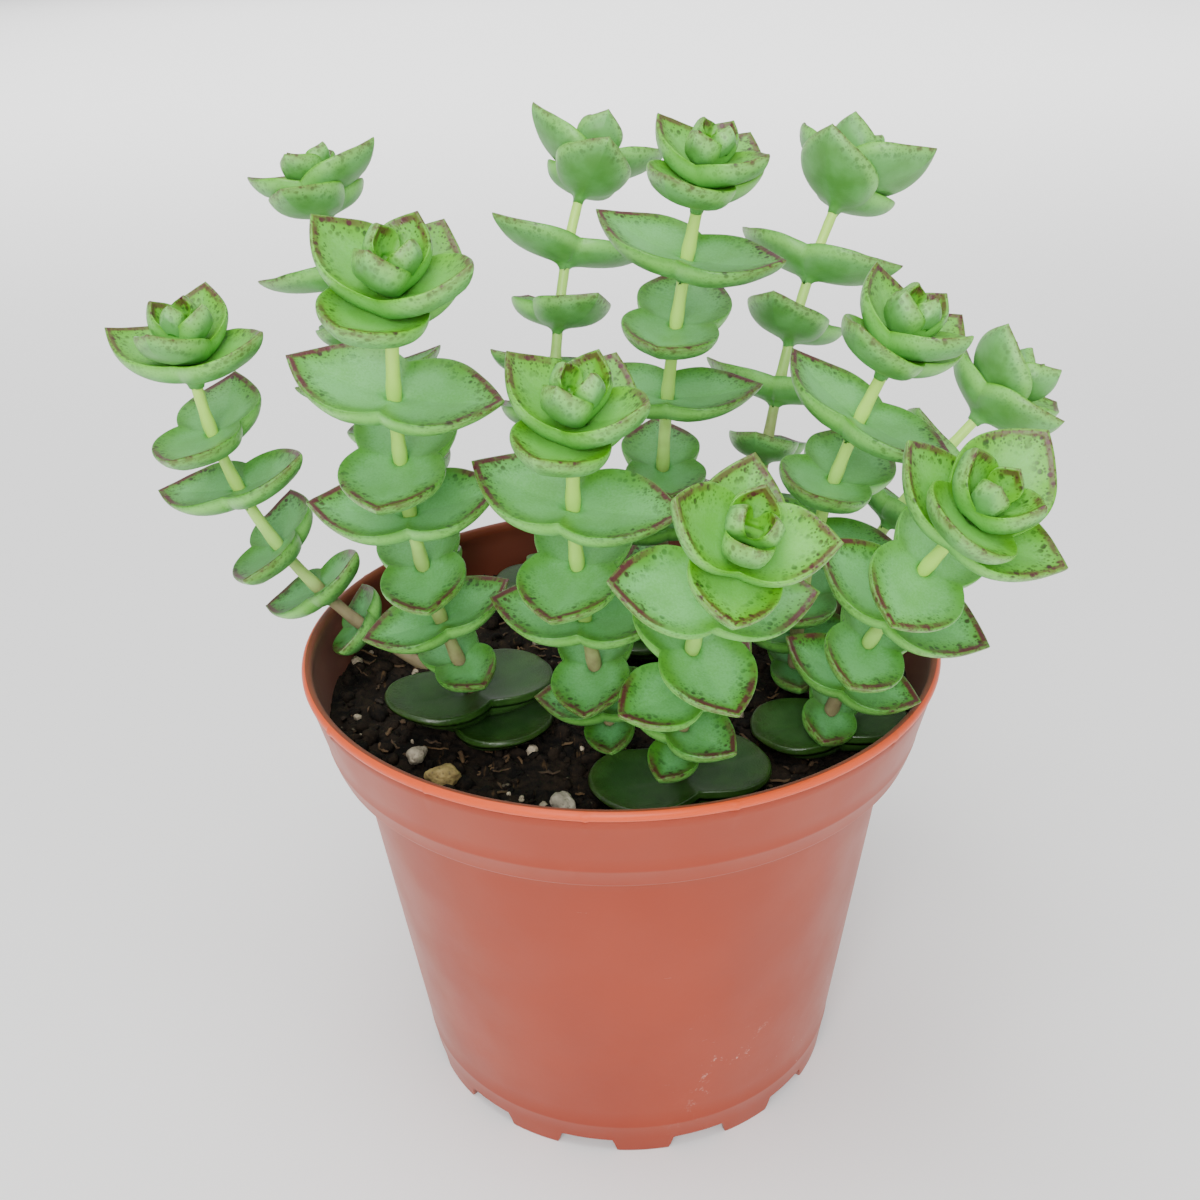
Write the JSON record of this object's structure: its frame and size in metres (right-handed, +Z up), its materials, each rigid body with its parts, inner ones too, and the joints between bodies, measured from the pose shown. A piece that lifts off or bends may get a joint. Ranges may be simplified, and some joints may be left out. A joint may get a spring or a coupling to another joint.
{
  "type": "potted string of buttons plant",
  "caption": "Small succulent with flat paired leaves stacked up its upright stems, each ending in a nested crown, in a round terracotta-coloured plastic nursery pot.",
  "frame": {"origin": "the middle of the pot's base, on the surface that its feet stand on; the pot's axis is the Z axis", "axes": "+Z up along the pot's axis; +X to the right and +Y away from a viewer who faces the front of the plant, where its lowest crown is"},
  "size_m": [0.1574, 0.1338, 0.1636],
  "materials": {
    "pot": "satin, injection moulded, with pale scuffs",
    "potting_mix": "rough, peat and bark fibre with fine pumice",
    "pumice": "rough, pitted",
    "stem": "smooth and waxy, going brown near the soil",
    "leaf": "waxy blue-green bloom with a purple-red margin",
    "crown": "waxy, yellow-green, with red points"
  },
  "bodies": {
    "root": {"pot": "pot", "potting_mix": "potting_mix", "pumice_1": "pumice", "pumice_2": "pumice", "pumice_3": "pumice", "stem_a": "stem", "stem_b": "stem", "stem_c": "stem", "stem_d": "stem", "stem_e": "stem", "stem_f": "stem", "stem_g": "stem", "stem_h": "stem", "stem_i": "stem", "stem_j": "stem", "stem_k": "stem", "leaves_a1": "leaf", "leaves_a2": "leaf", "leaves_a3": "leaf", "leaves_b1": "leaf", "leaves_b2": "leaf", "leaves_b3": "leaf", "leaves_c1": "leaf", "leaves_c2": "leaf", "leaves_c3": "leaf", "leaves_d1": "leaf", "leaves_d2": "leaf", "leaves_d3": "leaf", "leaves_e1": "leaf", "leaves_e2": "leaf", "leaves_e3": "leaf", "leaves_f1": "leaf", "leaves_f2": "leaf", "leaves_f3": "leaf", "leaves_g1": "leaf", "leaves_g2": "leaf", "leaves_g3": "leaf", "leaves_h1": "leaf", "leaves_h2": "leaf", "leaves_h3": "leaf", "leaves_i1": "leaf", "leaves_i2": "leaf", "leaves_j1": "leaf", "leaves_j2": "leaf", "leaves_j3": "leaf", "leaves_k1": "leaf", "leaves_k2": "leaf", "leaves_k3": "leaf", "crown_a": "crown", "crown_b": "crown", "crown_c": "crown", "crown_d": "crown", "crown_e": "crown", "crown_f": "crown", "crown_g": "crown", "crown_h": "crown", "crown_i": "crown", "crown_j": "crown", "crown_k": "crown"}
  },
  "joints": []
}
